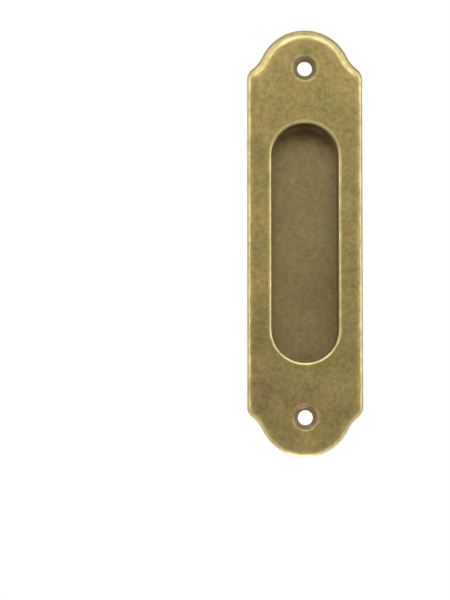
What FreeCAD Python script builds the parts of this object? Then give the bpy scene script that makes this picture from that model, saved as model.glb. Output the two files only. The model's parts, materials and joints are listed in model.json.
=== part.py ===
import FreeCAD, Part
import math
import os
import Sketcher
from FreeCAD import Vector

# Flush pull of a pocket door: one forged brass piece. An oblong face plate with an arched end above
# and below carries an oblong finger cup, which goes into a mortise in the door. Two countersunk
# screws, one at each end, hold it.
# Frame: +X across the plate, +Y from the room into the door, +Z up. The flat back of the plate, its
# seat on the door, is Y = 0, and the origin is midway between the two screw holes.
# Sizes are in millimetres, angles in degrees.

SIZES = [
    ("plate_length", 148.0, "from the top of one arched end to the top of the other"),
    ("plate_width", 40.0, "across the straight sides"),
    ("plate_thickness", 3.2, "from the seat to the face"),
    ("shoulder_inset", 3.7, "how much narrower the arched end is, on each side"),
    ("shoulder_drop", 17.2, "from the top of an arched end down to the end of the straight side"),
    ("shoulder_radius", 4.5, "round corner between a side and the hollow curve"),
    ("hollow_radius", 12.5, "hollow curve from that corner into the arched end"),
    ("edge_width", 4.0, "how far in from the outline the soft edge begins"),
    ("edge_drop", 2.2, "how far below the face the soft edge meets the upright side"),
    ("edge_radius", 1.4, "the tighter, outer arc of the soft edge"),
    ("side_land", 8.5, "face between a side of the plate and the finger recess"),
    ("end_land", 32.6, "face between the top of an arched end and the finger recess"),
    ("recess_depth", 9.0, "from the face to the floor of the recess"),
    ("draft_angle", 1.5, "lean of the cup's walls, as a die needs"),
    ("rim_radius", 1.0, "soft rim where the face turns down into the recess"),
    ("floor_radius", 0.5, "inside corner between the recess wall and its floor"),
    ("cup_wall", 1.9, "thickness of the cup's wall"),
    ("cup_floor", 1.8, "thickness of the cup's floor"),
    ("cup_edge_radius", 1.6, "outside corner round the back of the cup"),
    ("root_radius", 0.8, "inside corner where the cup leaves the seat"),
    ("screw_inset", 13.5, "from the top of an arched end to the centre of its screw hole"),
    ("screw_hole", 5.2, "hole that the screw's shank goes through"),
    ("countersink", 8.6, "countersink for the screw's head, at the face"),
    ("countersink_angle", 90.0, "full angle of the countersink's cone"),
    ("countersink_radius", 0.7, "rubbed edge round the countersink"),
]
VALUE = {name: value for name, value, note in SIZES}

# the points of a line or an arc, and the axes, in the order in which a sketch numbers them
POINTS = ("edge", "start", "end", "centre")
AXES = ("x_axis", "y_axis")

# two heights closer than this are one
SAME = 0.01

doc = FreeCAD.newDocument("pocket_door_pull")


def make_sheet():
    sheet = doc.addObject("Spreadsheet::Sheet", "sizes")
    for row, (name, value, note) in enumerate(SIZES, start=1):
        sheet.set(f"A{row}", name)
        sheet.set(f"B{row}", str(value))
        sheet.set(f"C{row}", note)
        sheet.setAlias(f"B{row}", name)
    doc.recompute()


def origin_plane(body, role):
    return next(plane for plane in body.Origin.OriginFeatures if plane.Role == role)


def new_sketch(body, name, role, lift=None):
    """A sketch on one of the body's own planes, lifted off it by the size that lift names."""
    sketch = body.newObject("Sketcher::SketchObject", name)
    sketch.AttachmentSupport = (origin_plane(body, role), "")
    sketch.MapMode = "FlatFace"
    if lift:
        sketch.setExpression("AttachmentOffset.Base.z", lift)
    return sketch


def sketch_number(term):
    """The number of a point or an axis that is given as a word; other terms stay as they are."""
    if term in POINTS:
        return POINTS.index(term)
    if term in AXES:
        return -1 - AXES.index(term)
    return term


def constrain(sketch, kind, *terms):
    terms = [sketch_number(term) for term in terms]
    return sketch.addConstraint(Sketcher.Constraint(kind, *terms))


def dimension(sketch, name, formula, kind, *terms):
    """Adds a dimension and ties it to the sheet."""
    sketch.renameConstraint(constrain(sketch, kind, *terms), name)
    sketch.setExpression(f"Constraints.{name}", formula)


def draw_arc(sketch, centre, radius, start, end):
    circle = Part.Circle(Vector(*centre, 0), Vector(0, 0, 1), radius)
    return sketch.addGeometry(Part.ArcOfCircle(circle, start, end))


def draw_line(sketch, start, end):
    return sketch.addGeometry(Part.LineSegment(Vector(*start, 0), Vector(*end, 0)))


def hollow_centre(arch, arch_radius, corner, corner_radius, hollow_radius):
    """Centre of the hollow curve, which touches the arched end and the round corner."""
    across = corner[0] - arch[0]
    up = corner[1] - arch[1]
    apart = math.hypot(across, up)
    to_arch = arch_radius + hollow_radius
    to_corner = corner_radius + hollow_radius
    along = (to_arch**2 - to_corner**2 + apart**2) / (2 * apart)
    off = math.sqrt(to_arch**2 - along**2)
    return (
        arch[0] + (along * across - off * up) / apart,
        arch[1] + (along * up + off * across) / apart,
    )


def draw_outline(sketch):
    """The plate's outline: two straight sides, and at each end an arch between two hollow curves,
    each of which runs into a side round a corner."""
    half_width = VALUE["plate_width"] / 2
    half_length = VALUE["plate_length"] / 2
    side_end = half_length - VALUE["shoulder_drop"]
    arch_radius = half_width - VALUE["shoulder_inset"]
    corner_radius = VALUE["shoulder_radius"]
    hollow_radius = VALUE["hollow_radius"]
    arch = (0, half_length - arch_radius)
    corner = (half_width - corner_radius, side_end)
    hollow = hollow_centre(arch, arch_radius, corner, corner_radius, hollow_radius)
    arch_turn = math.atan2(hollow[1] - arch[1], hollow[0] - arch[0])
    corner_turn = math.atan2(hollow[1] - corner[1], hollow[0] - corner[0])

    side, arches, corners, hollows = {}, {}, {}, {}
    for right in (1, -1):
        x = right * half_width
        side[right] = draw_line(sketch, (x, -right * side_end), (x, right * side_end))
    for top in (1, -1):
        turn = 0 if top > 0 else math.pi
        arches[top] = draw_arc(
            sketch, (0, top * arch[1]), arch_radius, turn + arch_turn, turn + math.pi - arch_turn
        )
    # the upper right corner and hollow are turned half round for the lower left and mirrored for
    # the other two, where an arc's start and end change places
    for top, right in ((1, 1), (1, -1), (-1, -1), (-1, 1)):
        turned = top * right > 0
        turn = 0 if right > 0 else math.pi
        corner_span = (0, corner_turn) if turned else (-corner_turn, 0)
        hollow_span = (arch_turn, corner_turn) if turned else (-corner_turn, -arch_turn)
        corners[top, right] = draw_arc(
            sketch, (right * corner[0], top * corner[1]), corner_radius,
            *(turn + angle for angle in corner_span),
        )
        hollows[top, right] = draw_arc(
            sketch, (right * hollow[0], top * hollow[1]), hollow_radius,
            *(turn + math.pi + angle for angle in hollow_span),
        )
        first, last = ("start", "end") if turned else ("end", "start")
        constrain(sketch, "Tangent", side[right], last, corners[top, right], first)
        constrain(sketch, "Tangent", corners[top, right], last, hollows[top, right], last)
        constrain(sketch, "Tangent", hollows[top, right], first, arches[top], first)

    for group in (arches, corners, hollows):
        model, *others = group.values()
        for other in others:
            constrain(sketch, "Equal", model, other)
    for right in (1, -1):
        constrain(sketch, "Symmetric", side[right], "start", side[right], "end", "x_axis")
    constrain(sketch, "Symmetric", side[1], "start", side[-1], "end", "y_axis")
    constrain(sketch, "PointOnObject", arches[1], "centre", "y_axis")
    constrain(sketch, "Symmetric", arches[1], "centre", arches[-1], "centre", "x_axis")

    arch_size = "(sizes.plate_width / 2 - sizes.shoulder_inset)"
    dimension(
        sketch, "width", "sizes.plate_width",
        "DistanceX", side[-1], "end", side[1], "start", 2 * half_width,
    )
    dimension(
        sketch, "side", "sizes.plate_length - 2 * sizes.shoulder_drop",
        "DistanceY", side[1], "start", side[1], "end", 2 * side_end,
    )
    dimension(
        sketch, "arches_apart", f"sizes.plate_length - 2 * {arch_size}",
        "DistanceY", arches[-1], "centre", arches[1], "centre", 2 * arch[1],
    )
    dimension(sketch, "arch", arch_size, "Radius", arches[1], arch_radius)
    dimension(sketch, "corner", "sizes.shoulder_radius", "Radius", corners[1, 1], corner_radius)
    dimension(sketch, "hollow", "sizes.hollow_radius", "Radius", hollows[1, 1], hollow_radius)


def draw_oblong(sketch, length, width):
    """An upright slot shape with half-round ends about the origin. It starts as the recess and
    takes its length and width from these two sheet formulas."""
    radius = VALUE["plate_width"] / 2 - VALUE["side_land"]
    reach = VALUE["plate_length"] / 2 - VALUE["end_land"] - radius
    right = draw_line(sketch, (radius, -reach), (radius, reach))
    top = draw_arc(sketch, (0, reach), radius, 0, math.pi)
    left = draw_line(sketch, (-radius, reach), (-radius, -reach))
    bottom = draw_arc(sketch, (0, -reach), radius, math.pi, 2 * math.pi)
    ring = [right, top, left, bottom, right]
    for first, second in zip(ring, ring[1:]):
        constrain(sketch, "Tangent", first, "end", second, "start")
    constrain(sketch, "Equal", top, bottom)
    constrain(sketch, "PointOnObject", top, "centre", "y_axis")
    constrain(sketch, "Symmetric", top, "centre", bottom, "centre", "x_axis")
    dimension(sketch, "radius", f"({width}) / 2", "Radius", top, radius)
    dimension(
        sketch, "ends_apart", f"({length}) - ({width})",
        "DistanceY", bottom, "centre", top, "centre", 2 * reach,
    )


def draw_edge_waste(sketch):
    """What the soft edge leaves off the plate, cut through halfway up the right side: the outer,
    tighter arc starts upright on the side and the inner, flatter one ends level on the face."""
    side = VALUE["plate_width"] / 2
    face = -VALUE["plate_thickness"]
    width = VALUE["edge_width"]
    drop = VALUE["edge_drop"]
    tight = VALUE["edge_radius"]
    flat = (width**2 - 2 * width * tight + drop**2) / (2 * (drop - tight))
    tight_centre = (side - tight, face + drop)
    flat_centre = (side - width, face + flat)
    meet = math.atan2(tight_centre[1] - flat_centre[1], tight_centre[0] - flat_centre[0])
    clear = tight

    outer = draw_arc(sketch, tight_centre, tight, meet, 0)
    inner = draw_arc(sketch, flat_centre, flat, -math.pi / 2, meet)
    rise = draw_line(sketch, (side - width, face), (side - width, face - clear))
    top = draw_line(sketch, (side - width, face - clear), (side + clear, face - clear))
    fall = draw_line(sketch, (side + clear, face - clear), (side + clear, face + drop))
    back = draw_line(sketch, (side + clear, face + drop), (side, face + drop))

    constrain(sketch, "Tangent", inner, "end", outer, "start")
    constrain(sketch, "Coincident", inner, "start", rise, "start")
    constrain(sketch, "Coincident", rise, "end", top, "start")
    constrain(sketch, "Coincident", top, "end", fall, "start")
    constrain(sketch, "Coincident", fall, "end", back, "start")
    constrain(sketch, "Coincident", back, "end", outer, "end")
    constrain(sketch, "Vertical", rise)
    constrain(sketch, "Vertical", fall)
    constrain(sketch, "Horizontal", top)
    constrain(sketch, "Horizontal", back)
    constrain(sketch, "PointOnObject", inner, "centre", rise)
    constrain(sketch, "PointOnObject", outer, "centre", back)
    dimension(
        sketch, "side", "sizes.plate_width / 2",
        "DistanceX", "x_axis", "start", outer, "end", side,
    )
    dimension(
        sketch, "face", "sizes.plate_thickness",
        "DistanceY", inner, "start", "x_axis", "start", -face,
    )
    dimension(
        sketch, "width", "sizes.edge_width",
        "DistanceX", inner, "start", outer, "end", width,
    )
    dimension(
        sketch, "drop", "sizes.edge_drop",
        "DistanceY", inner, "start", outer, "end", drop,
    )
    dimension(sketch, "tight", "sizes.edge_radius", "Radius", outer, tight)
    dimension(
        sketch, "clear_out", "sizes.edge_radius",
        "DistanceX", back, "end", back, "start", clear,
    )
    dimension(
        sketch, "clear_up", "sizes.edge_radius",
        "DistanceY", rise, "end", rise, "start", clear,
    )


def draw_screw_centre(sketch):
    """The upper screw hole, on the plate's middle line."""
    height = VALUE["plate_length"] / 2 - VALUE["screw_inset"]
    bore = Part.Circle(Vector(0, height, 0), Vector(0, 0, 1), VALUE["screw_hole"] / 2)
    hole = sketch.addGeometry(bore)
    constrain(sketch, "PointOnObject", hole, "centre", "y_axis")
    dimension(
        sketch, "height", "sizes.plate_length / 2 - sizes.screw_inset",
        "DistanceY", "x_axis", "start", hole, "centre", height,
    )
    dimension(sketch, "bore", "sizes.screw_hole", "Diameter", hole, VALUE["screw_hole"])


def new_feature(body, kind, name, profile=None, **formulas):
    """A feature of the body, each of its sizes tied to a sheet formula."""
    feature = body.newObject(f"PartDesign::{kind}", name)
    if profile:
        feature.Profile = profile
    for size, formula in formulas.items():
        feature.setExpression(size, formula)
    return feature


def loops_at(shape, level):
    """The closed edges of the flat that lies at this Y: its outline, then its openings, long to
    short."""
    for face in shape.Faces:
        box = face.BoundBox
        if max(abs(box.YMin - level), abs(box.YMax - level)) < SAME:
            return sorted(face.Wires, key=lambda wire: -wire.Length)
    raise RuntimeError(f"no flat at Y = {level}")


def soften(body, name, level, loops, radius):
    """Rounds the edges of some of the loops of the flat at this Y."""
    doc.recompute()
    base = body.Tip
    wanted = [edge for wire in loops_at(base.Shape, level)[loops] for edge in wire.Edges]
    names = [
        f"Edge{number}"
        for number, edge in enumerate(base.Shape.Edges, start=1)
        if any(edge.isSame(other) for other in wanted)
    ]
    fillet = new_feature(body, "Fillet", name, Radius=radius)
    fillet.Base = (base, names)


def make_pull_plate():
    body = doc.addObject("PartDesign::Body", "pull_plate")
    face = -VALUE["plate_thickness"]
    floor = face + VALUE["recess_depth"]
    back = floor + VALUE["cup_floor"]

    outline = new_sketch(body, "outline", "XZ_Plane")
    draw_outline(outline)
    new_feature(body, "Pad", "plate", outline, Length="sizes.plate_thickness")

    waste = new_sketch(body, "edge_waste", "XY_Plane")
    draw_edge_waste(waste)
    soft_edge = new_feature(body, "SubtractivePipe", "soft_edge", waste)
    soft_edge.Spine = outline

    recess_length = "sizes.plate_length - 2 * sizes.end_land"
    recess_width = "sizes.plate_width - 2 * sizes.side_land"
    # the cup's wall is one thickness all the way, so at the seat it starts from the leaning recess
    gain = "2 * (sizes.cup_wall - sizes.plate_thickness * tan(sizes.draft_angle))"
    cup_outline = new_sketch(body, "cup_outline", "XZ_Plane")
    draw_oblong(cup_outline, f"{recess_length} + {gain}", f"{recess_width} + {gain}")
    cup = new_feature(
        body, "Pad", "cup", cup_outline,
        Length="sizes.recess_depth + sizes.cup_floor - sizes.plate_thickness",
        TaperAngle="-sizes.draft_angle",
    )
    cup.Reversed = True

    recess_outline = new_sketch(body, "recess_outline", "XZ_Plane", "sizes.plate_thickness")
    draw_oblong(recess_outline, recess_length, recess_width)
    new_feature(
        body, "Pocket", "recess", recess_outline,
        Length="sizes.recess_depth",
        TaperAngle="-sizes.draft_angle",
    )

    screw_centre = new_sketch(body, "screw_centre", "XZ_Plane", "sizes.plate_thickness")
    draw_screw_centre(screw_centre)
    doc.recompute()
    screw_seat = new_feature(
        body, "Hole", "screw_seat", screw_centre,
        Diameter="sizes.screw_hole",
        HoleCutDiameter="sizes.countersink",
        HoleCutCountersinkAngle="sizes.countersink_angle",
    )
    screw_seat.DepthType = "ThroughAll"
    screw_seat.HoleCutType = "Countersink"
    screw_seat.HoleCutCustomValues = True
    doc.recompute()
    both_seats = new_feature(body, "Mirrored", "both_screw_seats")
    both_seats.Originals = [screw_seat]
    both_seats.MirrorPlane = (origin_plane(body, "XY_Plane"), [""])
    body.Tip = both_seats

    soften(body, "cup_root", 0, slice(1, 2), "sizes.root_radius")
    soften(body, "cup_back_edge", back, slice(0, 1), "sizes.cup_edge_radius")
    soften(body, "recess_floor_edge", floor, slice(0, 1), "sizes.floor_radius")
    soften(body, "recess_rim", face, slice(1, 2), "sizes.rim_radius")
    soften(body, "countersink_edges", face, slice(2, 4), "sizes.countersink_radius")
    return body


def check(sub_parts):
    """Stops unless every object is sound and every sub-part is one valid solid."""
    for thing in doc.Objects:
        faults = {"Invalid", "Error"} & set(thing.State)
        if faults:
            raise RuntimeError(f"{thing.Name} is {sorted(faults)}")
    for part in sub_parts:
        if part.Shape.isNull() or not part.Shape.isValid():
            raise RuntimeError(f"{part.Label} has no valid shape")
        if len(part.Shape.Solids) != 1:
            raise RuntimeError(f"{part.Label} has {len(part.Shape.Solids)} solids")


make_sheet()
sub_parts = [make_pull_plate()]
doc.recompute()
check(sub_parts)
os.makedirs("parts", exist_ok=True)
for part in sub_parts:
    part.Shape.exportStep(f"parts/{part.Label}.step")
    print(part.Label, round(part.Shape.Volume, 3), "mm3", len(part.Shape.Faces), "faces")
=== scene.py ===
import json
import math

import bmesh
import bpy
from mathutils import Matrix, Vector


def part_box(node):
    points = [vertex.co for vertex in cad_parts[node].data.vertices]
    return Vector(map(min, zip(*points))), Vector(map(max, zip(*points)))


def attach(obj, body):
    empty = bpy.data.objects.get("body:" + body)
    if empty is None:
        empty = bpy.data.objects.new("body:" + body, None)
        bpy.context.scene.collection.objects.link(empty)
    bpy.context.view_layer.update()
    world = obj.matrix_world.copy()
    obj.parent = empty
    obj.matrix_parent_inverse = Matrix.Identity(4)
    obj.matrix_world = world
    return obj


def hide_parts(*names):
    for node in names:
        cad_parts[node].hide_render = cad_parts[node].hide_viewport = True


# Flush pull of a pocket door, forged in brass: an oblong face plate with arched ends and a finger cup.
# The shape is made lying on its back, seat down, in millimetres: x across, y along, z towards the
# room. The last steps of its tree turn it upright into the frame, in metres.

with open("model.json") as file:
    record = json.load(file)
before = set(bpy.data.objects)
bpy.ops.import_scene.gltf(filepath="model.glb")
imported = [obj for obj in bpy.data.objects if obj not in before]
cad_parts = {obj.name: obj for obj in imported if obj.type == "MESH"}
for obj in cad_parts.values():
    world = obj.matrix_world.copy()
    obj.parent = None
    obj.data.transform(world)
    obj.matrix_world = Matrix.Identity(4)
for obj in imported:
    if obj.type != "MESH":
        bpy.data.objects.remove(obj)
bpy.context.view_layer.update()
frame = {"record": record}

MM = 0.001

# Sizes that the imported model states
low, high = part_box("pull_plate")
WIDTH = (high.x - low.x) / MM
LENGTH = (high.z - low.z) / MM
FACE = -low.y / MM
CUP_BACK = -high.y / MM
mounts = {mount["name"]: mount for mount in frame["record"]["mounts"]}
SCREW_SPACING = mounts["screw_holes"]["dims"]["spacing_y_mm"]
SCREW_HOLE = 2 * mounts["screw_holes"]["dims"]["hole_r_mm"]

# The outline: an arch between two hollows at each end, and round shoulders on the sides
SHOULDER_INSET = 3.7
SHOULDER_DROP = 17.2
SHOULDER_RADIUS = 4.5
HOLLOW_RADIUS = 12.5

# The soft edge of the plate
EDGE_WIDTH = 4.0
EDGE_DROP = 2.2
EDGE_RADIUS = 1.4

# The finger recess and the cup behind it, whose walls lean by the draft, in degrees
SIDE_LAND = 8.5
END_LAND = 32.6
RECESS_DEPTH = 9.0
DRAFT = 1.5
DRAFT_SLOPE = math.tan(math.radians(DRAFT))
RIM_RADIUS = 1.0
FLOOR_RADIUS = 0.5
CUP_WALL = 1.9
CUP_EDGE_RADIUS = 1.6
ROOT_RADIUS = 0.8

# The screw seats; the lean is in degrees
COUNTERSINK = 8.6
COUNTERSINK_LEAN = 45.0
COUNTERSINK_RADIUS = 0.7

# How finely the outlines' arcs and straights are drawn
STEP = 0.5
STRAIGHT_STEP = 2.5

# How finely the sections are drawn: their arcs, the strips on which marks fade, and the bores
ARC_STEP = 0.2
RIM_STEP = 0.15
BRIM_STEP = 0.1
FADE_STEP = 0.5
RIM_FADE_STEP = 0.25
WALL_FADE_STEP = 0.3
SEAT_FADE_STEP = 0.4
BORE_STEP = 0.8

# Into how many parts an arc is divided at the least, and the sides of a screw hole
FEWEST = 6
HOLE_SIDES = 72

# Places nearer to each other than this are one, and points this near are merged
SAME = 0.01
MERGED = SAME / 5

# Edges sharper than this many degrees are creases
CREASE = 35

# What a section's points carry: how rubbed the metal is, how much grime it holds, and how far up the
# arches' brow it lies, which is rubbed and painted with a highlight
MARKS = ("rub", "grime", "brow")

# How far past its curve a mark fades out: most marks, and then the rubbing of the soft edge, above
# and below the rim, and round the screw seats
FADE = 1.0
EDGE_FADE = 1.3
RIM_FADE = 0.6
WALL_FADE = 0.6
SEAT_FADE = 1.6

# How rubbed the side is at its foot and its top, and the soft edge after it
FOOT_RUB = 0.4
SIDE_RUB = 0.7
EDGE_RUB = 0.85

# How much rubbing and painted highlight a brow carries where the edge's rubbing ends, the most that it
# carries, and how far past the tight arc that is, where the light from above catches the flat arc
BROW_START = 0.55
BROW_MOST = 0.65
BROW_PEAK = 2.2

# How rubbed the rim and a screw seat's brim are, at the face and further in, and the cup's back edge
RIM_TOP_RUB = 0.7
RIM_RUB = 0.85
BRIM_TOP_RUB = 0.45
BRIM_RUB = 0.4
CUP_EDGE_RUB = 0.4

# How much grime the recess holds: below the rim, in the corner and on the floor
WALL_GRIME = 0.4
CORNER_GRIME = 0.8
FLOOR_GRIME = 0.48

# How much grime the cup's root holds, at the seat and on the cup, and a screw seat, on its brim and
# further in
ROOT_GRIME = 0.5
ROOT_END_GRIME = 0.3
BRIM_GRIME = 0.6
SCREW_GRIME = 1.0

# The skin that the bath left, in three tones, the grime in the hollows, and the bright metal, which
# also paints the highlight on the arches' brows
OLIVE = "#8C814D"
STRAW = "#9F8D55"
ROSY = "#967F55"
GRIME = "#756647"
RUBBED_AND_HIGHLIGHT = "#E2D498"

# The tones of the patches: paler, darker and redder ones on the face, and those in the recess. Among
# them are a painted reflection in the lower screw seat, and the painted shadow and painted shade under
# the recess's upper end
PALE = "#AD9A62"
PALE_STRAW = "#B09C62"
PALE_ROSY = "#B3975F"
DARK = "#746B40"
DARK_OLIVE = "#6E6A3C"
RUSSET = "#8A6A50"
COPPERY = "#A0745A"
PAINTED_REFLECTION_COPPERY = "#DCB890"
BROWN = "#715F3F"
DARK_BROWN = "#65543A"
PAINTED_SHADOW_TONE = "#674B32"
PAINTED_SHADE_TONE = "#4A3A20"

# How deep the patches' middles lie: by the face, in a screw seat, on the recess's wall, by its floor
BY_FACE = -3.0
IN_SEAT = -2.5
ON_WALL = 1.8
BY_FLOOR = 5.3

# Where the skin is darker, redder or paler than around it, and where shadow, shade and a reflection
# are painted on: the middle, in millimetres in the frame, how far it reaches, its tone, and how much
# of it shows
PATCHES = (
    ((0.8, BY_FACE, 65.9), 4.2, DARK_OLIVE, 0.7),
    ((-15.0, BY_FACE, 56.0), 8.0, PALE, 0.4),
    ((16.0, BY_FACE, 52.0), 9.0, PALE, 0.5),
    ((14.6, BY_FACE, 13.5), 6.0, PALE, 0.6),
    ((-14.8, BY_FACE, 7.0), 9.0, PALE_ROSY, 0.5),
    ((-14.8, BY_FACE, -13.0), 9.0, PALE_ROSY, 0.5),
    ((13.5, BY_FACE, -49.0), 9.0, PALE, 0.5),
    ((-17.0, BY_FACE, 32.0), 7.0, DARK, 0.5),
    ((-15.5, BY_FACE, -34.0), 9.0, DARK, 0.5),
    ((-14.0, BY_FACE, -58.0), 6.0, DARK, 0.5),
    ((-13.7, BY_FACE, -51.0), 7.0, RUSSET, 0.6),
    ((0.0, BY_FACE, -58.5), 8.0, COPPERY, 0.6),
    # painted reflection of the light from below, on the upper side of the lower screw seat, which
    # faces down
    ((-1.0, IN_SEAT, -56.9), 2.6, PAINTED_REFLECTION_COPPERY, 0.9),
    ((0.0, BY_FACE, -69.5), 9.0, PALE_STRAW, 0.7),
    ((5.0, BY_FLOOR, -18.0), 18.0, BROWN, 0.6),
    ((0.0, BY_FLOOR, -41.0), 6.0, DARK_BROWN, 0.5),
    # painted shadow on the recess floor below its upper end, and painted shade on the upper wall,
    # which faces down
    ((-8.5, BY_FLOOR, 38.0), 5.0, PAINTED_SHADOW_TONE, 0.7),
    ((8.5, BY_FLOOR, 37.0), 6.0, PAINTED_SHADOW_TONE, 0.7),
    ((0.0, BY_FLOOR, 41.0), 7.0, PAINTED_SHADOW_TONE, 0.9),
    ((0.0, ON_WALL, 43.0), 12.0, PAINTED_SHADE_TONE, 0.9),
)

# Patches are this many times flatter than wide, so that they don't come through on the back
FLATTER = 4.0

# Noise of about a half is added to how far a place is from a patch's middle, as a share of the
# patch's reach. The patch shows whole up to the first of these values and is gone at the second
PATCH_WHOLE = 0.5
PATCH_GONE = 1.5

# The noises in the skin and in the wear: the size of their features in millimetres, their detail,
# roughness and distortion
NOISES = {
    "clouds": (11.0, 3.0, 0.55, 0.0),
    "blotches": (4.0, 3.0, 0.6, 0.3),
    "grains": (1.8, 4.0, 0.9, 0.0),
    "wear": (4.0, 4.0, 0.65, 0.0),
}

# Between which values of the noise the clouds, the blotches and the grain change
CLOUD_SPAN = (0.35, 0.65)
BLOTCH_SPAN = (0.35, 0.7)
GRAIN_SPAN = (0.3, 0.7)

# How much of the blotches' tone shows, how far the grain goes up and down from the skin's tone, and
# how much of it pure grime fills in
BLOTCH_MOST = 0.7
GRAIN_DEPTH = 0.34
GRAIN_FILLED = 0.6

# The grain's relief: how much of it shows, and its height in millimetres
RELIEF = 0.3
RELIEF_HEIGHT = 0.05

# From the first to the second of these heights, in millimetres up or down, the rubbing and its painted
# highlight start to take in the arches' brows. Of the lower one it takes in only this share, so that
# the upper brow, where the light from above falls, is painted brighter
BROW_FROM = 50.0
BROW_TO = 60.0
LOWER_BROW = 0.5

# The rubbing and the brows' painted highlight, to this power, with noise added, lay the metal bare
# between these values
RUB_POWER = 1.6
BARE_SPAN = (0.65, 1.4)

# How rough and how metallic the skin, the grime and the bare metal are
SKIN_ROUGHNESS = 0.46
GRIME_ROUGHNESS = 0.66
RUBBED_ROUGHNESS = 0.38
SKIN_METALLIC = 0.85
GRIME_METALLIC = 0.3
RUBBED_METALLIC = 1.0

# Inputs of a Mix node that mixes colours: the share, and the two colours
SHARE, FIRST, SECOND = 0, 6, 7

# The floor, in metres. Behind the pull its paint runs out into plain white, between these distances
FLOOR_PAINT = "#F2F1EE"
WHITE = "#FFFFFF"
FLOOR_HEIGHT = -0.2
FLOOR_REACH = 6.0
WHITE_FROM = 0.1
WHITE_TO = 0.5

# The light tent is white up to the first of these values and open past the second. They say how far
# a direction points to the camera's side, from -1 to 1
TENT_WHITE = -0.6
TENT_OPEN = 0.0

# How bright its open side is
OPENING = 0.05

# The grids on the soft boxes let light out over this many degrees
BOX_SPREAD = 50

# The soft boxes: degrees up and to the right as the camera sees them, distance, width and height in
# metres, and power in watts
SOFT_BOXES = {
    "key": (34, 0, 1.8, 1.2, 1.0, 1.6),
    "key_left": (34, -36, 1.8, 1.0, 1.0, 0.95),
    "key_right": (34, 36, 1.8, 1.0, 1.0, 0.95),
    "top": (76, 0, 1.8, 1.6, 0.4, 0.26),
    "left": (5, -62, 1.8, 0.8, 1.6, 1.15),
    "right": (5, 62, 1.8, 0.8, 1.6, 1.4),
    "under": (-80, 180, 0.18, 0.3, 0.12, 0.04),
}

# The photograph's view: the focal length and the longer side of the picture in pixels, the sensor
# and the camera's place in millimetres, and how far it is tipped up and turned, in degrees
FOCAL_PIXELS = 1803
PICTURE_PIXELS = 600
SENSOR = 36.0
CAMERA_PLACE = (-28.1, -623.1, -51.0)
CAMERA_TIP = 2.86
CAMERA_TURN = 0.04


def arc(centre, radius, start, end, step=STEP):
    """Points along an arc, both ends included; angles in degrees."""
    turn = math.radians(end - start)
    count = max(FEWEST, math.ceil(abs(turn) * radius / step))
    angles = [math.radians(start) + turn * i / count for i in range(count + 1)]
    return [(centre[0] + radius * math.cos(a), centre[1] + radius * math.sin(a)) for a in angles]


def line(start, end, step=STRAIGHT_STEP):
    """Points along a straight line, both ends included."""
    count = max(1, math.ceil(math.dist(start, end) / step))
    return [tuple(a + (b - a) * i / count for a, b in zip(start, end)) for i in range(count + 1)]


def closed_from_quarter(quarter):
    """Mirrors the upper right quarter of an outline, drawn from the right side to the top."""
    upper = quarter + [(-x, y) for x, y in reversed(quarter)]
    whole = upper + [(-x, -y) for x, y in upper]
    return [p for p, after in zip(whole, whole[1:] + whole[:1]) if math.dist(p, after) > SAME]


def plate_outline():
    half_width = WIDTH / 2
    side_end = LENGTH / 2 - SHOULDER_DROP
    arch_radius = half_width - SHOULDER_INSET
    arch = Vector((0, LENGTH / 2 - arch_radius))
    shoulder = Vector((half_width - SHOULDER_RADIUS, side_end))
    # the hollow's centre is as far from both as touching circles are
    across = shoulder - arch
    to_arch = arch_radius + HOLLOW_RADIUS
    to_shoulder = SHOULDER_RADIUS + HOLLOW_RADIUS
    along = (to_arch**2 - to_shoulder**2 + across.length_squared) / (2 * across.length)
    up = across.orthogonal().normalized() * math.sqrt(to_arch**2 - along**2)
    hollow = arch + across.normalized() * along + up
    shoulder_end = math.degrees(math.atan2(*reversed(hollow - shoulder)))
    arch_start = math.degrees(math.atan2(*reversed(hollow - arch)))
    return closed_from_quarter(
        line((half_width, 0), (half_width, side_end))
        + arc(shoulder, SHOULDER_RADIUS, 0, shoulder_end)
        + arc(hollow, HOLLOW_RADIUS, 180 + shoulder_end, 180 + arch_start)
        + arc(arch, arch_radius, arch_start, 90)
    )


def recess_outline():
    radius = WIDTH / 2 - SIDE_LAND
    straight = LENGTH / 2 - END_LAND - radius
    return closed_from_quarter(
        line((radius, 0), (radius, straight)) + arc((0, straight), radius, 0, 90)
    )


def section(*stretches):
    """The points of a section: how far outwards and how high each is, and its marks. A stretch is a
    list of places with the marks that aren't 0 there, each at its first and its last place."""
    points = []
    for places, given in stretches:
        last = len(places) - 1
        for i, place in enumerate(places):
            if points and math.dist(place, points[-1][0]) < SAME:
                continue
            ends = [given.get(mark, (0, 0)) for mark in MARKS]
            points.append((place, [start + (end - start) * i / last for start, end in ends]))
    return points


def touching(level, radius, wall, lean):
    """How far out the centre of a fillet lies between a level flat and a wall that leans inwards by
    an angle as it goes down. The wall crosses height 0 at wall; radius is below 0 for a fillet on
    the wall's inner side."""
    height = level - radius
    slope = math.radians(lean)
    return wall + (radius + height * math.sin(slope)) / math.cos(slope)


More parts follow.
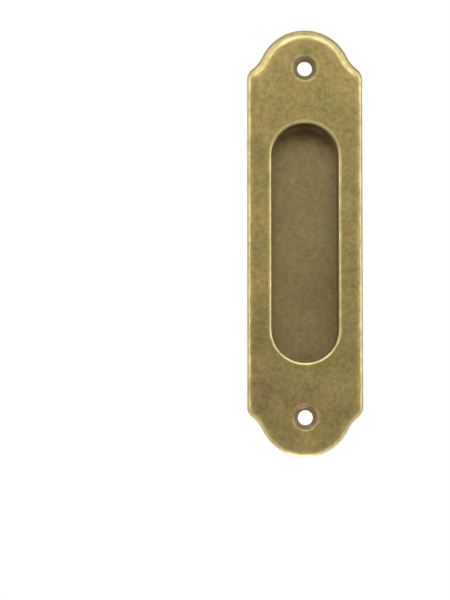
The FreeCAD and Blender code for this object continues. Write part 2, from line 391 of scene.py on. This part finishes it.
def edge_section():
    """From the seat up the side, round the soft edge and onto the face. The edge is a tight arc and
    a flat one that touches it and runs out level with the face."""
    flat_radius = (EDGE_WIDTH**2 - 2 * EDGE_WIDTH * EDGE_RADIUS + EDGE_DROP**2) / (
        2 * (EDGE_DROP - EDGE_RADIUS)
    )
    tight = (-EDGE_RADIUS, FACE - EDGE_DROP)
    flat = (-EDGE_WIDTH, FACE - flat_radius)
    meet = math.degrees(math.atan2(tight[1] - flat[1], tight[0] - flat[0]))
    fades = meet + math.degrees(EDGE_FADE / flat_radius)
    peak = meet + math.degrees(BROW_PEAK / flat_radius)
    return section(
        (line((0, 0), (0, tight[1])), {"rub": (FOOT_RUB, SIDE_RUB)}),
        (arc(tight, EDGE_RADIUS, 0, meet, ARC_STEP), {"rub": (SIDE_RUB, EDGE_RUB)}),
        # the flat arc's brow is rubbed, and carries a painted highlight that peaks where the light
        # from above catches the arc
        (
            arc(flat, flat_radius, meet, fades, ARC_STEP),
            {"rub": (EDGE_RUB, 0), "brow": (0, BROW_START)},
        ),
        (arc(flat, flat_radius, fades, peak, ARC_STEP), {"brow": (BROW_START, BROW_MOST)}),
        (arc(flat, flat_radius, peak, 90, ARC_STEP), {"brow": (BROW_MOST, 0)}),
    )


def recess_section():
    """From the face over the rim, down the wall and onto the floor. The wall's line crosses the
    face at the path."""
    floor = FACE - RECESS_DEPTH
    wall = -FACE * DRAFT_SLOPE
    rim = (touching(FACE, RIM_RADIUS, wall, DRAFT), FACE - RIM_RADIUS)
    corner = (touching(floor, -FLOOR_RADIUS, wall, DRAFT), floor + FLOOR_RADIUS)
    before_rim = line((rim[0] + RIM_FADE, FACE), (rim[0], FACE), RIM_FADE_STEP)
    over_rim = arc(rim, RIM_RADIUS, 90, 180 - DRAFT, RIM_STEP)
    rim_end = over_rim[-1]
    fades = (rim_end[0] - WALL_FADE * DRAFT_SLOPE, rim_end[1] - WALL_FADE)
    past_corner = line((corner[0], floor), (corner[0] - FADE, floor), FADE_STEP)
    return section(
        (before_rim, {"rub": (0, RIM_TOP_RUB)}),
        (over_rim, {"rub": (RIM_TOP_RUB, RIM_RUB)}),
        (line(rim_end, fades, WALL_FADE_STEP), {"rub": (RIM_RUB, 0), "grime": (0, WALL_GRIME)}),
        (
            arc(corner, FLOOR_RADIUS, -DRAFT, -90, ARC_STEP),
            {"grime": (CORNER_GRIME, CORNER_GRIME)},
        ),
        (past_corner, {"grime": (CORNER_GRIME, FLOOR_GRIME)}),
    )


def cup_section():
    """From the seat round the root, down the outside of the cup and onto its back."""
    wall = CUP_WALL - FACE * DRAFT_SLOPE
    root = (touching(0, ROOT_RADIUS, wall, DRAFT), -ROOT_RADIUS)
    edge = (touching(CUP_BACK, -CUP_EDGE_RADIUS, wall, DRAFT), CUP_BACK + CUP_EDGE_RADIUS)
    before_root = line((root[0] + FADE, 0), (root[0], 0), FADE_STEP)
    past_edge = line((edge[0], CUP_BACK), (edge[0] - FADE, CUP_BACK), FADE_STEP)
    return section(
        (before_root, {"grime": (0, ROOT_GRIME)}),
        (
            arc(root, ROOT_RADIUS, 90, 180 - DRAFT, ARC_STEP),
            {"grime": (ROOT_GRIME, ROOT_END_GRIME)},
        ),
        (
            arc(edge, CUP_EDGE_RADIUS, -DRAFT, -90, ARC_STEP),
            {"rub": (CUP_EDGE_RUB, CUP_EDGE_RUB)},
        ),
        (past_edge, {"rub": (CUP_EDGE_RUB, 0)}),
    )


def screw_section():
    """From the face down the countersink and through the hole to the seat."""
    reach = (COUNTERSINK - SCREW_HOLE) / 2
    lean = COUNTERSINK_LEAN
    cone_end = FACE - reach / math.tan(math.radians(lean))
    wall = reach - FACE * math.tan(math.radians(lean))
    brim = (touching(FACE, COUNTERSINK_RADIUS, wall, lean), FACE - COUNTERSINK_RADIUS)
    before_brim = line((brim[0] + SEAT_FADE, FACE), (brim[0], FACE), SEAT_FADE_STEP)
    return section(
        (before_brim, {"rub": (0, BRIM_TOP_RUB)}),
        (
            arc(brim, COUNTERSINK_RADIUS, 90, 180 - lean, BRIM_STEP),
            {"rub": (BRIM_TOP_RUB, BRIM_RUB), "grime": (0, BRIM_GRIME)},
        ),
        (line((0, cone_end), (0, 0), BORE_STEP), {"grime": (SCREW_GRIME, SCREW_GRIME)}),
    )


def link(thing):
    bpy.context.scene.collection.objects.link(thing)
    return thing


def path_object(name, points):
    """A closed curve to sweep along. It runs anticlockwise, so that its normals point outwards."""
    curve = bpy.data.curves.new(name, "CURVE")
    curve.dimensions = "3D"
    spline = curve.splines.new("POLY")
    spline.points.add(len(points) - 1)
    for point, (x, y) in zip(spline.points, points):
        point.co = (x, y, 0, 1)
    spline.use_cyclic_u = True
    return link(bpy.data.objects.new(name, curve))


def section_object(name, points):
    """A section as a chain of edges that carries its marks. Its heights are turned over, because
    Curve to Mesh draws a section's Y downwards along such a path."""
    mesh = bpy.data.meshes.new(name)
    places = [(x, -z, 0) for (x, z), marks in points]
    mesh.from_pydata(places, [(i, i + 1) for i in range(len(places) - 1)], [])
    for i, mark in enumerate(MARKS):
        values = [marks[i] for place, marks in points]
        mesh.attributes.new(mark, "FLOAT", "POINT").data.foreach_set("value", values)
    return link(bpy.data.objects.new(name, mesh))


def add(tree, kind, inputs=None, **settings):
    """Adds a node. Its inputs are values or the outputs that go into them, one or a list."""
    node = tree.nodes.new(kind)
    for name, value in settings.items():
        setattr(node, name, value)
    for name, value in (inputs or {}).items():
        for source in value if isinstance(value, list) else [value]:
            if isinstance(source, bpy.types.Node):
                source = next(output for output in source.outputs if output.enabled)
            if isinstance(source, bpy.types.NodeSocket):
                tree.links.new(source, node.inputs[name])
            else:
                node.inputs[name].default_value = source
    return node


def new_tree(name, inputs):
    """An empty tree with named inputs, and the outputs that bring them in."""
    tree = bpy.data.node_groups.new(name, "GeometryNodeTree")
    for label, kind in inputs.items():
        tree.interface.new_socket(label, in_out="INPUT", socket_type=f"NodeSocket{kind}")
    tree.interface.new_socket("Geometry", in_out="OUTPUT", socket_type="NodeSocketGeometry")
    return tree, add(tree, "NodeGroupInput").outputs


def band_tree():
    """Sweeps a section along a closed path."""
    tree, given = new_tree("swept_band", {"Path": "Geometry", "Section": "Object"})
    level = add(tree, "GeometryNodeSetCurveNormal", {"Curve": given["Path"]}, mode="Z_UP")
    edges = add(tree, "GeometryNodeObjectInfo", {"Object": given["Section"]})
    chain = add(tree, "GeometryNodeMeshToCurve", {"Mesh": edges.outputs["Geometry"]})
    band = add(tree, "GeometryNodeCurveToMesh", {"Curve": level, "Profile Curve": chain})
    add(tree, "NodeGroupOutput", {"Geometry": band})
    return tree


def flat_tree():
    """Closes the bands' open edges at one height with a flat, which leaves out what they enclose."""
    tree, given = new_tree("flat", {"Bands": "Geometry", "Height": "Float", "Grime": "Float"})
    faces = add(tree, "GeometryNodeInputMeshEdgeNeighbors")
    is_open = add(
        tree, "FunctionNodeCompare", {"A": faces.outputs["Face Count"], "B": 1},
        data_type="INT", operation="EQUAL",
    )
    place = add(tree, "GeometryNodeInputPosition")
    height = add(tree, "ShaderNodeSeparateXYZ", {"Vector": place}).outputs["Z"]
    is_level = add(
        tree, "FunctionNodeCompare", {"A": height, "B": given["Height"], "Epsilon": SAME},
        data_type="FLOAT", operation="EQUAL",
    )
    both = add(tree, "FunctionNodeBooleanMath", {0: is_open, 1: is_level}, operation="AND")
    rings = add(tree, "GeometryNodeMeshToCurve", {"Mesh": given["Bands"], "Selection": both})
    flat = add(tree, "GeometryNodeFillCurve", {"Curve": rings}, mode="TRIANGLES")
    lift = add(tree, "ShaderNodeCombineXYZ", {"Z": given["Height"]})
    lifted = add(tree, "GeometryNodeSetPosition", {"Geometry": flat, "Offset": lift})
    dirty = add(
        tree, "GeometryNodeStoreNamedAttribute",
        {"Geometry": lifted, "Name": "grime", "Value": given["Grime"]},
        data_type="FLOAT", domain="POINT",
    )
    add(tree, "NodeGroupOutput", {"Geometry": dirty})
    return tree


def plate_tree():
    """The whole pull: three bands, two screw seats and the flats between them."""
    objects = ("Outline", "Recess", "Edge section", "Recess section", "Cup section", "Screw section")
    sizes = ("Screw spacing", "Screw hole", "Face height", "Floor height", "Cup back height")
    tree, given = new_tree(
        "pull_plate", {name: "Object" for name in objects} | {name: "Float" for name in sizes}
    )
    swept_band = band_tree()
    outline = add(tree, "GeometryNodeObjectInfo", {"Object": given["Outline"]}).outputs["Geometry"]
    recess = add(tree, "GeometryNodeObjectInfo", {"Object": given["Recess"]}).outputs["Geometry"]
    hole_radius = add(tree, "ShaderNodeMath", {0: given["Screw hole"], 1: 0.5}, operation="MULTIPLY")
    hole = add(
        tree, "GeometryNodeCurvePrimitiveCircle", {"Resolution": HOLE_SIDES, "Radius": hole_radius}
    )
    bands = {
        name: add(
            tree, "GeometryNodeGroup", {"Path": path, "Section": given[f"{name} section"]},
            node_tree=swept_band,
        )
        for name, path in (("Edge", outline), ("Recess", recess), ("Cup", recess), ("Screw", hole))
    }

    half_spacing = add(
        tree, "ShaderNodeMath", {0: given["Screw spacing"], 1: 0.5}, operation="MULTIPLY"
    )
    lower = add(tree, "ShaderNodeMath", {0: half_spacing, 1: -1.0}, operation="MULTIPLY")
    first = add(tree, "ShaderNodeCombineXYZ", {"Y": lower})
    pitch = add(tree, "ShaderNodeCombineXYZ", {"Y": given["Screw spacing"]})
    centres = add(
        tree, "GeometryNodeMeshLine", {"Count": 2, "Start Location": first, "Offset": pitch},
        mode="OFFSET",
    )
    seats = add(
        tree, "GeometryNodeInstanceOnPoints", {"Points": centres, "Instance": bands["Screw"]}
    )
    real_seats = add(tree, "GeometryNodeRealizeInstances", {"Geometry": seats})
    swept = add(
        tree, "GeometryNodeJoinGeometry",
        {"Geometry": [bands["Edge"], bands["Recess"], bands["Cup"], real_seats]},
    )

    flat = flat_tree()
    flats = [
        add(
            tree, "GeometryNodeGroup", {"Bands": swept, "Height": height, "Grime": grime},
            node_tree=flat,
        )
        for height, grime in (
            (given["Face height"], 0.0),
            (given["Floor height"], FLOOR_GRIME),
            (0.0, 0.0),
            (given["Cup back height"], 0.0),
        )
    ]
    whole = add(tree, "GeometryNodeJoinGeometry", {"Geometry": [swept, *flats]})
    merged = add(tree, "GeometryNodeMergeByDistance", {"Geometry": whole, "Distance": MERGED})
    upright = add(
        tree, "GeometryNodeTransform",
        {"Geometry": merged, "Rotation": (math.pi / 2, 0, 0), "Scale": (MM, MM, MM)},
    )
    smooth = add(tree, "GeometryNodeSetShadeSmooth", {"Geometry": upright})
    real = add(tree, "GeometryNodeRealizeInstances", {"Geometry": smooth})
    dressed = add(
        tree, "GeometryNodeSetMaterial", {"Geometry": real, "Material": antique_brass()}
    )
    add(tree, "NodeGroupOutput", {"Geometry": dressed})
    return tree


def make_plate():
    helpers = {
        "Outline": path_object("plate_outline", plate_outline()),
        "Recess": path_object("recess_outline", recess_outline()),
        "Edge section": section_object("edge_section", edge_section()),
        "Recess section": section_object("recess_section", recess_section()),
        "Cup section": section_object("cup_section", cup_section()),
        "Screw section": section_object("screw_section", screw_section()),
    }
    sizes = {
        "Screw spacing": SCREW_SPACING,
        "Screw hole": SCREW_HOLE,
        "Face height": FACE,
        "Floor height": FACE - RECESS_DEPTH,
        "Cup back height": CUP_BACK,
    }
    plate = link(bpy.data.objects.new("brass_plate", bpy.data.meshes.new("brass_plate")))
    tree = plate_tree()
    live = plate.modifiers.new("shape", "NODES")
    live.node_group = tree
    for name, value in {**helpers, **sizes}.items():
        live[tree.interface.items_tree[name].identifier] = value

    graph = bpy.context.evaluated_depsgraph_get()
    shaped = bpy.data.meshes.new_from_object(
        plate.evaluated_get(graph), preserve_all_data_layers=True, depsgraph=graph
    )
    plate.modifiers.remove(live)
    plate.data = shaped
    for helper in helpers.values():
        bpy.data.objects.remove(helper)

    # the faces are turned outwards, and no edge may be left open
    bm = bmesh.new()
    bm.from_mesh(shaped)
    bmesh.ops.recalc_face_normals(bm, faces=bm.faces)
    open_edges = [edge for edge in bm.edges if len(edge.link_faces) != 2]
    bm.to_mesh(shaped)
    bm.free()
    if open_edges:
        raise RuntimeError(f"the plate has {len(open_edges)} open edges")
    shaped.set_sharp_from_angle(angle=math.radians(CREASE))
    return plate


def linear(code):
    """A linear colour from an sRGB hex value."""
    shares = [int(code[i : i + 2], 16) / 255 for i in (1, 3, 5)]
    return (*[c / 12.92 if c <= 0.04045 else ((c + 0.055) / 1.055) ** 2.4 for c in shares], 1.0)


def per_metre(millimetres):
    """A noise scale from the size of its features."""
    return 1 / (millimetres * MM)


def antique_brass():
    """Forged brass, darkened in a bath and rubbed back by hand. The bath leaves a cloudy olive skin
    with rosy blotches and a fine grain, duller than the metal. The rubbing brings the bright metal
    back on every edge that stands out, and doesn't reach the dark grime in the hollows. The bright
    metal also paints a highlight on the arches' brows, stronger on the upper arch, and patches paint
    shadow, shade and a reflection."""
    material = bpy.data.materials.new("antique_brass")
    material.use_nodes = True
    tree = material.node_tree
    tree.nodes.clear()
    place = add(tree, "ShaderNodeTexCoord").outputs["Object"]
    rub, grime, brow = (
        add(tree, "ShaderNodeAttribute", attribute_name=mark).outputs["Fac"] for mark in MARKS
    )
    noise = {
        name: add(
            tree, "ShaderNodeTexNoise",
            {
                "Vector": place, "Scale": per_metre(size), "Detail": detail,
                "Roughness": roughness, "Distortion": distortion,
            },
        )
        for name, (size, detail, roughness, distortion) in NOISES.items()
    }

    cloud_share = add(
        tree, "ShaderNodeMapRange",
        {"Value": noise["clouds"], "From Min": CLOUD_SPAN[0], "From Max": CLOUD_SPAN[1]},
    )
    blotch_share = add(
        tree, "ShaderNodeMapRange",
        {
            "Value": noise["blotches"], "From Min": BLOTCH_SPAN[0], "From Max": BLOTCH_SPAN[1],
            "To Max": BLOTCH_MOST,
        },
    )
    layers = [(cloud_share, STRAW), (blotch_share, ROSY), (grime, GRIME)]
    squash = (1, FLATTER, 1)
    squashed = add(tree, "ShaderNodeVectorMath", {0: place, 1: squash}, operation="MULTIPLY")
    for centre, reach, tone, strength in PATCHES:
        middle = tuple(c * part * MM for c, part in zip(centre, squash))
        away = add(tree, "ShaderNodeVectorMath", {0: squashed, 1: middle}, operation="DISTANCE")
        ragged = add(
            tree, "ShaderNodeMath",
            {0: noise["blotches"], 1: reach * MM, 2: away.outputs["Value"]},
            operation="MULTIPLY_ADD",
        )
        near = add(
            tree, "ShaderNodeMapRange",
            {
                "Value": ragged, "From Min": PATCH_GONE * reach * MM,
                "From Max": PATCH_WHOLE * reach * MM, "To Max": strength,
            },
            interpolation_type="SMOOTHSTEP",
        )
        layers.append((near, tone))
    skin_and_painted_light = linear(OLIVE)
    for share, tone in layers:
        skin_and_painted_light = add(
            tree, "ShaderNodeMix", {SHARE: share, FIRST: skin_and_painted_light, SECOND: linear(tone)},
            data_type="RGBA",
        )

    grain = add(
        tree, "ShaderNodeMapRange",
        {
            "Value": noise["grains"], "From Min": GRAIN_SPAN[0], "From Max": GRAIN_SPAN[1],
            "To Min": 1 - GRAIN_DEPTH, "To Max": 1 + GRAIN_DEPTH,
        },
    )
    filled = add(tree, "ShaderNodeMath", {0: grime, 1: GRAIN_FILLED}, operation="MULTIPLY")
    softer = add(tree, "ShaderNodeMix", {"Factor": filled, "A": grain, "B": 1.0})
    grained = add(tree, "ShaderNodeVectorMath", {0: skin_and_painted_light, "Scale": softer}, operation="SCALE")

    # how much of the brow's rubbing and painted highlight counts depends on how far up or down it
    # lies: most on the upper arch, where the light from above falls
    height = add(tree, "ShaderNodeSeparateXYZ", {"Vector": place}).outputs["Z"]
    most = add(
        tree, "ShaderNodeMapRange",
        {
            "Value": height, "From Min": -BROW_TO * MM, "From Max": BROW_TO * MM,
            "To Min": LOWER_BROW,
        },
    )
    from_middle = add(tree, "ShaderNodeMath", {0: height}, operation="ABSOLUTE")
    on_arch = add(
        tree, "ShaderNodeMapRange",
        {
            "Value": from_middle, "From Min": BROW_FROM * MM, "From Max": BROW_TO * MM,
            "To Max": most,
        },
    )
    rub_and_highlight = add(tree, "ShaderNodeMath", {0: brow, 1: on_arch, 2: rub}, operation="MULTIPLY_ADD")
    rounded = add(tree, "ShaderNodeMath", {0: rub_and_highlight, 1: RUB_POWER}, operation="POWER")
    worn_and_highlit = add(tree, "ShaderNodeMath", {0: rounded, 1: noise["wear"]}, operation="ADD")
    bare_and_highlit = add(
        tree, "ShaderNodeMapRange",
        {"Value": worn_and_highlit, "From Min": BARE_SPAN[0], "From Max": BARE_SPAN[1]},
    )
    colour = add(
        tree, "ShaderNodeMix", {SHARE: bare_and_highlit, FIRST: grained, SECOND: linear(RUBBED_AND_HIGHLIGHT)},
        data_type="RGBA",
    )

    dull = add(
        tree, "ShaderNodeMapRange",
        {"Value": grime, "To Min": SKIN_ROUGHNESS, "To Max": GRIME_ROUGHNESS},
    )
    roughness = add(tree, "ShaderNodeMix", {"Factor": bare_and_highlit, "A": dull, "B": RUBBED_ROUGHNESS})
    plain = add(
        tree, "ShaderNodeMapRange",
        {"Value": grime, "To Min": SKIN_METALLIC, "To Max": GRIME_METALLIC},
    )
    metallic = add(tree, "ShaderNodeMix", {"Factor": bare_and_highlit, "A": plain, "B": RUBBED_METALLIC})
    relief = add(
        tree, "ShaderNodeBump",
        {"Height": noise["grains"], "Strength": RELIEF, "Distance": RELIEF_HEIGHT * MM},
    )
    shader = add(
        tree, "ShaderNodeBsdfPrincipled",
        {"Base Color": colour, "Roughness": roughness, "Metallic": metallic, "Normal": relief},
    )
    add(tree, "ShaderNodeOutputMaterial", {"Surface": shader.outputs["BSDF"]})
    return material


def make_floor():
    """A pale floor below the pull, which runs out into white behind it."""
    mesh = bpy.data.meshes.new("floor")
    signs = ((-1, -1), (1, -1), (1, 1), (-1, 1))
    corners = [(x * FLOOR_REACH, y * FLOOR_REACH, FLOOR_HEIGHT) for x, y in signs]
    mesh.from_pydata(corners, [], [(0, 1, 2, 3)])
    floor = link(bpy.data.objects.new("floor", mesh))
    material = bpy.data.materials.new("pale_floor_paint")
    material.use_nodes = True
    tree = material.node_tree
    tree.nodes.clear()
    paint = add(tree, "ShaderNodeBsdfDiffuse", {"Color": linear(FLOOR_PAINT)})
    white = add(tree, "ShaderNodeEmission", {"Color": linear(WHITE), "Strength": 1.0})
    place = add(tree, "ShaderNodeTexCoord").outputs["Object"]
    behind = add(tree, "ShaderNodeSeparateXYZ", {"Vector": place}).outputs["Y"]
    share = add(
        tree, "ShaderNodeMapRange", {"Value": behind, "From Min": WHITE_FROM, "From Max": WHITE_TO}
    )
    rays = add(tree, "ShaderNodeLightPath").outputs
    seen = rays["Is Camera Ray"]
    for kind in ("Is Glossy Ray", "Is Transmission Ray"):
        seen = add(tree, "ShaderNodeMath", {0: seen, 1: rays[kind]}, operation="MAXIMUM")
    shown = add(tree, "ShaderNodeMath", {0: seen, 1: share}, operation="MULTIPLY")
    surface = add(tree, "ShaderNodeMixShader", {0: shown, 1: paint, 2: white})
    add(tree, "ShaderNodeOutputMaterial", {"Surface": surface})
    mesh.materials.append(material)
    return floor


def make_world():
    """A light tent: white behind the pull, and dim where it is open, on the camera's side."""
    world = bpy.data.worlds.new("light_tent")
    world.use_nodes = True
    tree = world.node_tree
    tree.nodes.clear()
    direction = add(tree, "ShaderNodeTexCoord").outputs["Generated"]
    front = add(
        tree, "ShaderNodeVectorMath", {0: direction, 1: (0, -1, 0)}, operation="DOT_PRODUCT"
    )
    level = add(
        tree, "ShaderNodeMapRange",
        {
            "Value": front.outputs["Value"], "From Min": TENT_WHITE, "From Max": TENT_OPEN,
            "To Min": 1.0, "To Max": OPENING,
        },
        interpolation_type="SMOOTHSTEP",
    )
    light = add(tree, "ShaderNodeBackground", {"Color": linear(WHITE), "Strength": level})
    add(tree, "ShaderNodeOutputWorld", {"Surface": light})
    bpy.context.scene.world = world


def make_soft_box(name, up, right, distance, width, height, power):
    light = bpy.data.lights.new(name, "AREA")
    light.shape = "RECTANGLE"
    light.size = width
    light.size_y = height
    light.energy = power
    light.spread = math.radians(BOX_SPREAD)
    box = link(bpy.data.objects.new(name, light))
    up = math.radians(up)
    right = math.radians(right)
    towards = Vector(
        (math.cos(up) * math.sin(right), -math.cos(up) * math.cos(right), math.sin(up))
    )
    box.location = towards * distance
    box.rotation_mode = "QUATERNION"
    box.rotation_quaternion = towards.to_track_quat("Z", "Y")
    box.visible_camera = False


def make_camera():
    """The photograph's: level with the lower part of the pull and tipped up a little."""
    data = bpy.data.cameras.new("camera")
    data.sensor_width = SENSOR
    data.lens = SENSOR * FOCAL_PIXELS / PICTURE_PIXELS
    camera = link(bpy.data.objects.new("camera", data))
    camera.location = [c * MM for c in CAMERA_PLACE]
    camera.rotation_euler = (math.radians(90 + CAMERA_TIP), 0, math.radians(-CAMERA_TURN))
    bpy.context.scene.camera = camera


plate = make_plate()
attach(plate, "root")
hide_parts("pull_plate")
make_floor()
make_world()
for name, numbers in SOFT_BOXES.items():
    make_soft_box(name, *numbers)
make_camera()
bpy.context.scene.view_settings.view_transform = "Standard"
